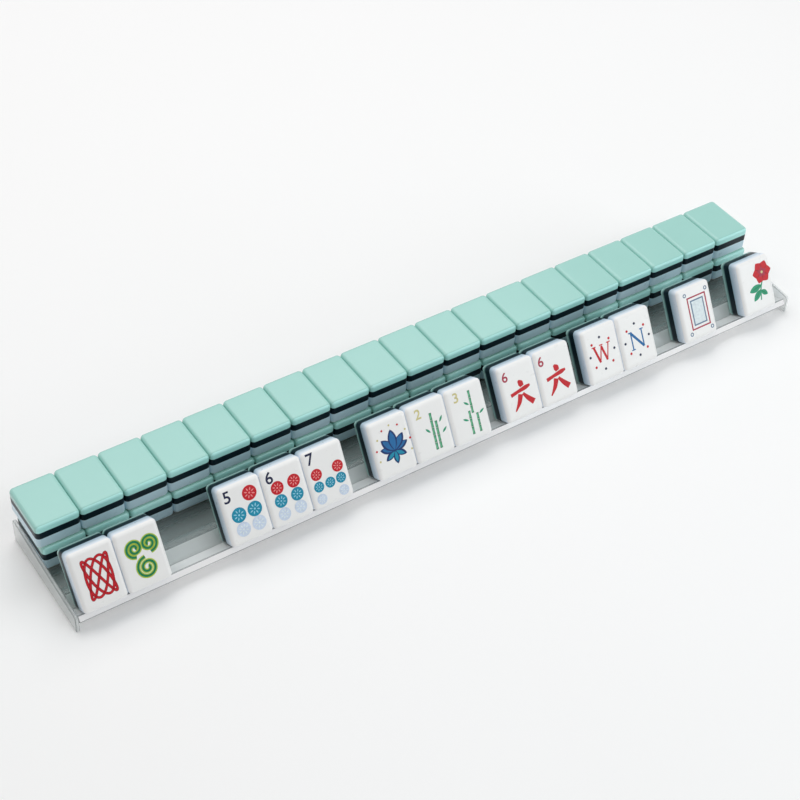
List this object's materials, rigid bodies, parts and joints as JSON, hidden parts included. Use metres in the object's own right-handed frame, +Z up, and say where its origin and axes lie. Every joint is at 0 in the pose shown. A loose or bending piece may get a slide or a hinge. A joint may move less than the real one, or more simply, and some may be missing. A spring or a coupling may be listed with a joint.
{
  "type": "loaded mahjong tile rack",
  "caption": "Clear tile rack with a two-high wall of face-down laminated tiles on its shelf and a hand of face-up tiles leaning in the trough along its front.",
  "frame": {"origin": "middle of the rack's footprint, on the table", "axes": "+X along the rack, to the right as the player sees it; +Y from the hand to the wall; +Z up"},
  "size_m": [0.4432, 0.0698, 0.0373],
  "materials": {
    "rack_clear": "polished clear acrylic sheet",
    "tile_back_mint": "polished",
    "tile_core_navy": "polished",
    "tile_face_white": "polished"
  },
  "bodies": {
    "rack": {"left_end_plate": "rack_clear", "right_end_plate": "rack_clear", "shelf_panel": "rack_clear", "backrest_panel": "rack_clear", "ledge_panel": "rack_clear", "rear_panel": "rack_clear", "support_rib": "rack_clear"},
    "wall_lower": {"wall_lower_back": "tile_back_mint", "wall_lower_core": "tile_core_navy", "wall_lower_face": "tile_face_white"},
    "wall_upper": {"wall_upper_back": "tile_back_mint", "wall_upper_core": "tile_core_navy", "wall_upper_face": "tile_face_white"},
    "wall_end_tile": {"wall_end_tile_back": "tile_back_mint", "wall_end_tile_core": "tile_core_navy", "wall_end_tile_face": "tile_face_white"},
    "red_dragon": {"red_dragon_back": "tile_back_mint", "red_dragon_core": "tile_core_navy", "red_dragon_face": "tile_face_white"},
    "green_dragon": {"green_dragon_back": "tile_back_mint", "green_dragon_core": "tile_core_navy", "green_dragon_face": "tile_face_white"},
    "five_dot": {"five_dot_back": "tile_back_mint", "five_dot_core": "tile_core_navy", "five_dot_face": "tile_face_white"},
    "six_dot": {"six_dot_back": "tile_back_mint", "six_dot_core": "tile_core_navy", "six_dot_face": "tile_face_white"},
    "seven_dot": {"seven_dot_back": "tile_back_mint", "seven_dot_core": "tile_core_navy", "seven_dot_face": "tile_face_white"},
    "one_bam": {"one_bam_back": "tile_back_mint", "one_bam_core": "tile_core_navy", "one_bam_face": "tile_face_white"},
    "two_bam": {"two_bam_back": "tile_back_mint", "two_bam_core": "tile_core_navy", "two_bam_face": "tile_face_white"},
    "three_bam": {"three_bam_back": "tile_back_mint", "three_bam_core": "tile_core_navy", "three_bam_face": "tile_face_white"},
    "left_six_crack": {"left_six_crack_back": "tile_back_mint", "left_six_crack_core": "tile_core_navy", "left_six_crack_face": "tile_face_white"},
    "right_six_crack": {"right_six_crack_back": "tile_back_mint", "right_six_crack_core": "tile_core_navy", "right_six_crack_face": "tile_face_white"},
    "west_wind": {"west_wind_back": "tile_back_mint", "west_wind_core": "tile_core_navy", "west_wind_face": "tile_face_white"},
    "north_wind": {"north_wind_back": "tile_back_mint", "north_wind_core": "tile_core_navy", "north_wind_face": "tile_face_white"},
    "soap": {"soap_back": "tile_back_mint", "soap_core": "tile_core_navy", "soap_face": "tile_face_white"},
    "flower": {"flower_back": "tile_back_mint", "flower_core": "tile_core_navy", "flower_face": "tile_face_white"}
  },
  "joints": [
    {"name": "wall_lower_lift", "type": "slide", "parent": "rack", "child": "wall_lower", "axis": [0, 0, 1], "range_m": [0, 0.06]},
    {"name": "wall_upper_lift", "type": "slide", "parent": "wall_lower", "child": "wall_upper", "axis": [0, 0, 1], "range_m": [0, 0.06]},
    {"name": "wall_end_tile_draw", "type": "slide", "parent": "wall_lower", "child": "wall_end_tile", "axis": [0, 0, 1], "range_m": [0, 0.09]},
    {"name": "red_dragon_lift", "type": "slide", "parent": "rack", "child": "red_dragon", "axis": [0, 0, 1], "range_m": [0, 0.05]},
    {"name": "green_dragon_lift", "type": "slide", "parent": "rack", "child": "green_dragon", "axis": [0, 0, 1], "range_m": [0, 0.05]},
    {"name": "five_dot_lift", "type": "slide", "parent": "rack", "child": "five_dot", "axis": [0, 0, 1], "range_m": [0, 0.05]},
    {"name": "six_dot_lift", "type": "slide", "parent": "rack", "child": "six_dot", "axis": [0, 0, 1], "range_m": [0, 0.05]},
    {"name": "seven_dot_lift", "type": "slide", "parent": "rack", "child": "seven_dot", "axis": [0, 0, 1], "range_m": [0, 0.05]},
    {"name": "one_bam_lift", "type": "slide", "parent": "rack", "child": "one_bam", "axis": [0, 0, 1], "range_m": [0, 0.05]},
    {"name": "two_bam_lift", "type": "slide", "parent": "rack", "child": "two_bam", "axis": [0, 0, 1], "range_m": [0, 0.05]},
    {"name": "three_bam_lift", "type": "slide", "parent": "rack", "child": "three_bam", "axis": [0, 0, 1], "range_m": [0, 0.05]},
    {"name": "left_six_crack_lift", "type": "slide", "parent": "rack", "child": "left_six_crack", "axis": [0, 0, 1], "range_m": [0, 0.05]},
    {"name": "right_six_crack_lift", "type": "slide", "parent": "rack", "child": "right_six_crack", "axis": [0, 0, 1], "range_m": [0, 0.05]},
    {"name": "west_wind_lift", "type": "slide", "parent": "rack", "child": "west_wind", "axis": [0, 0, 1], "range_m": [0, 0.05]},
    {"name": "north_wind_lift", "type": "slide", "parent": "rack", "child": "north_wind", "axis": [0, 0, 1], "range_m": [0, 0.05]},
    {"name": "soap_slide", "type": "slide", "parent": "rack", "child": "soap", "axis": [1, 0, 0], "range_m": [-0.018, 0.019]},
    {"name": "flower_lift", "type": "slide", "parent": "rack", "child": "flower", "axis": [0, 0, 1], "range_m": [0, 0.05]}
  ]
}
